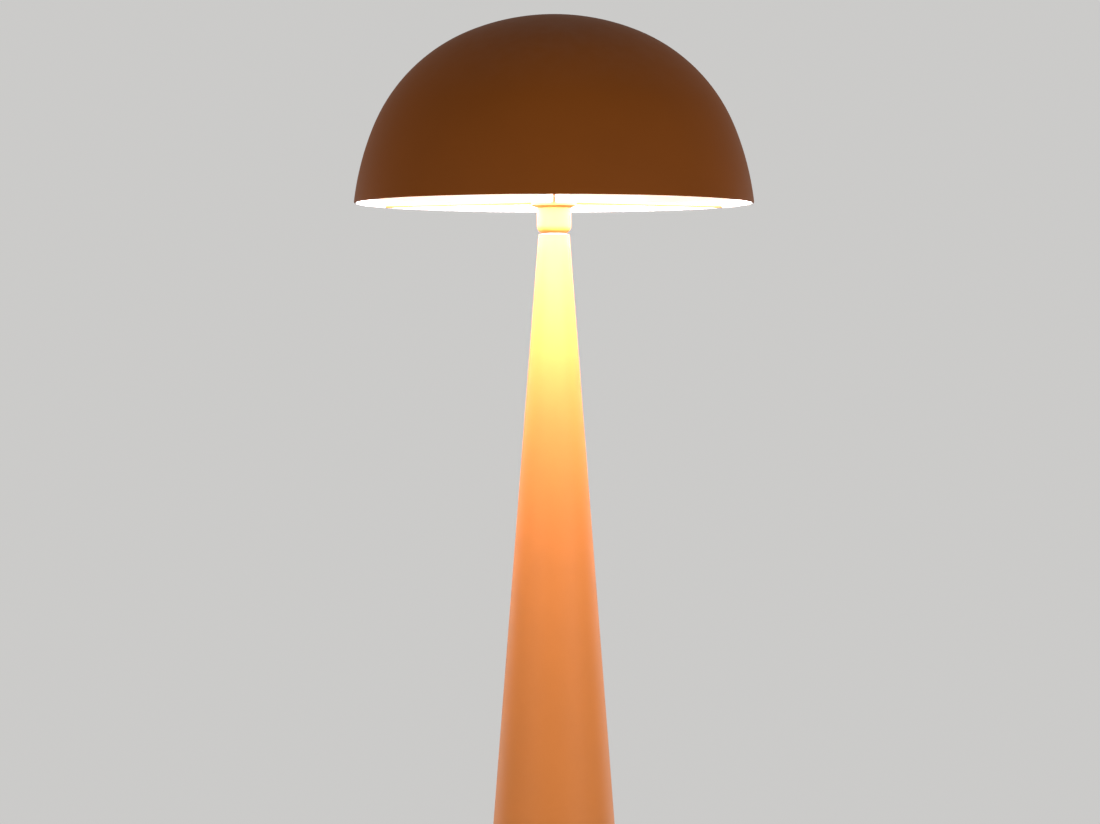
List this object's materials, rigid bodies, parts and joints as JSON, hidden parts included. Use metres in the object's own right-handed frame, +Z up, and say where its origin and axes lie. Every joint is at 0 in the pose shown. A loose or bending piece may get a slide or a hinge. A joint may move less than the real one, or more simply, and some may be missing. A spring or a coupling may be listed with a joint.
{
  "type": "floor lamp",
  "caption": "Mushroom floor lamp: a tall slim painted metal cone with a lampholder cup on top and a wide spun dome shade, white inside, carried by a three-arm spider over the bulb.",
  "frame": {"origin": "on the floor under the middle of the lamp, at the centre of the bounding box's underside", "axes": "+Z up along the lamp's axis, -Y to the front, towards the viewer in the picture, with the cable inlet at the back, +Y"},
  "size_m": [0.4999, 0.5, 1.5],
  "materials": {
    "shade_paint": "satin",
    "stand_paint": "satin",
    "holder_plastic": "satin",
    "porcelain": "satin",
    "brass": "satin",
    "zinc_plated_steel": "satin",
    "plain_steel": "satin",
    "grey_iron": "matte",
    "felt": "matte",
    "black_rubber": "matte",
    "lead_sheath": "satin",
    "earth_sheath": "satin",
    "block_plastic": "satin",
    "opal": "satin",
    "bulb_plastic": "satin",
    "nickel": "satin",
    "black_glass": "gloss"
  },
  "bodies": {
    "stand": {"felt_pads": "felt", "base_plate": "plain_steel", "weight": "grey_iron", "weight_screws": "zinc_plated_steel", "tie_tube": "zinc_plated_steel", "base_nut": "zinc_plated_steel", "base_washer": "zinc_plated_steel", "cup_nut": "brass", "cup_washer": "zinc_plated_steel", "column_shell": "stand_paint", "column_cap": "stand_paint", "cable_grommet": "black_rubber", "terminal_block": "block_plastic", "terminal_inserts": "brass", "block_screws": "zinc_plated_steel", "earth_tag": "brass", "earth_screw": "zinc_plated_steel", "inner_lead": "lead_sheath", "lead_cores": "lead_sheath", "earth_wire": "earth_sheath", "neck_spacer": "zinc_plated_steel", "holder_cup": "stand_paint", "holder_cap": "holder_plastic", "holder_core": "porcelain", "terminal_screws": "brass", "holder_skirt": "holder_plastic", "screw_shell": "brass", "centre_contact": "brass", "seat_ring": "stand_paint"},
    "shade": {"spider_hub": "shade_paint", "spider_arm_front": "shade_paint", "spider_arm_right": "shade_paint", "spider_arm_left": "shade_paint", "shade_dome": "shade_paint"},
    "clamp": {"clamp_ring": "holder_plastic"},
    "bulb_foot": {"bulb_tip": "nickel", "bulb_insulator": "black_glass"},
    "bulb": {"bulb_cap": "nickel", "bulb_collar": "bulb_plastic", "bulb_globe": "opal"}
  },
  "joints": [
    {"name": "shade_swivel", "type": "hinge", "parent": "stand", "child": "shade", "pos_m": [0, 0, 1.264], "axis": [0, 0, 1], "continuous": true},
    {"name": "clamp_turn", "type": "hinge", "parent": "stand", "child": "clamp", "pos_m": [0, 0, 1.2685], "axis": [0, 0, 1], "range_deg": [0, 2520]},
    {"name": "bulb_lift", "type": "slide", "parent": "stand", "child": "bulb_foot", "axis": [0, 0, 1], "range_m": [0, 0.018]},
    {"name": "bulb_turn", "type": "hinge", "parent": "bulb_foot", "child": "bulb", "pos_m": [0, 0, 1.2807], "axis": [0, 0, 1], "range_deg": [0, 1805]}
  ],
  "couplings": [
    {"joint": "bulb_turn", "follows": "bulb_lift", "rad_per_m": 1745.3}
  ]
}
